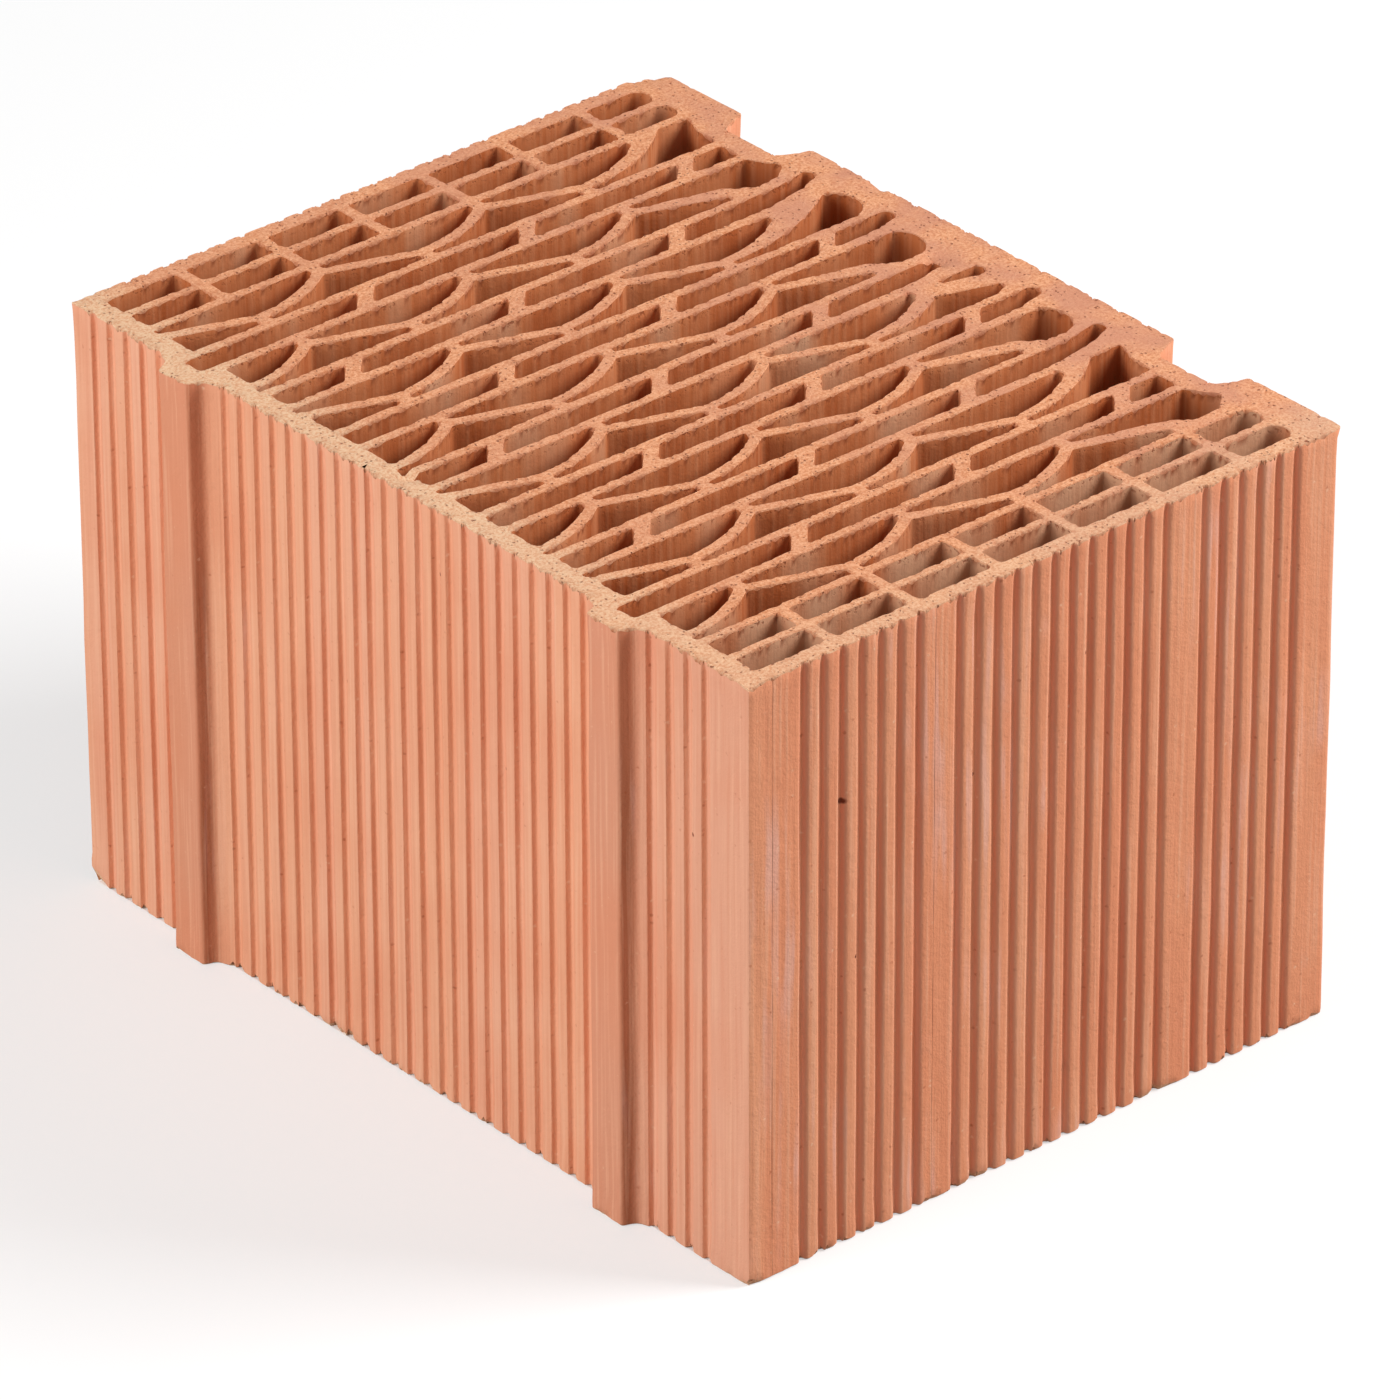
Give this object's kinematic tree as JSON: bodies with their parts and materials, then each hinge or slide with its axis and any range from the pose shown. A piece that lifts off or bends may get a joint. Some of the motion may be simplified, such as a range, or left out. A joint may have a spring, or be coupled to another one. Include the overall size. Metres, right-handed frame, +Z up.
{
  "type": "hollow clay block",
  "caption": "Fired clay wall block with rows of slots, wavy inner webs, combed faces and tongue-and-groove ends.",
  "frame": {"origin": "middle of the overall block on its lower bed face", "axes": "+X from the tongue face to the groove face along the wall, +Y through the wall thickness, +Z up"},
  "size_m": [0.295, 0.38, 0.249],
  "materials": {
    "fired_clay": "matt, porous, unglazed"
  },
  "bodies": {
    "root": {"hollow_clay_block": "fired_clay"}
  },
  "joints": []
}
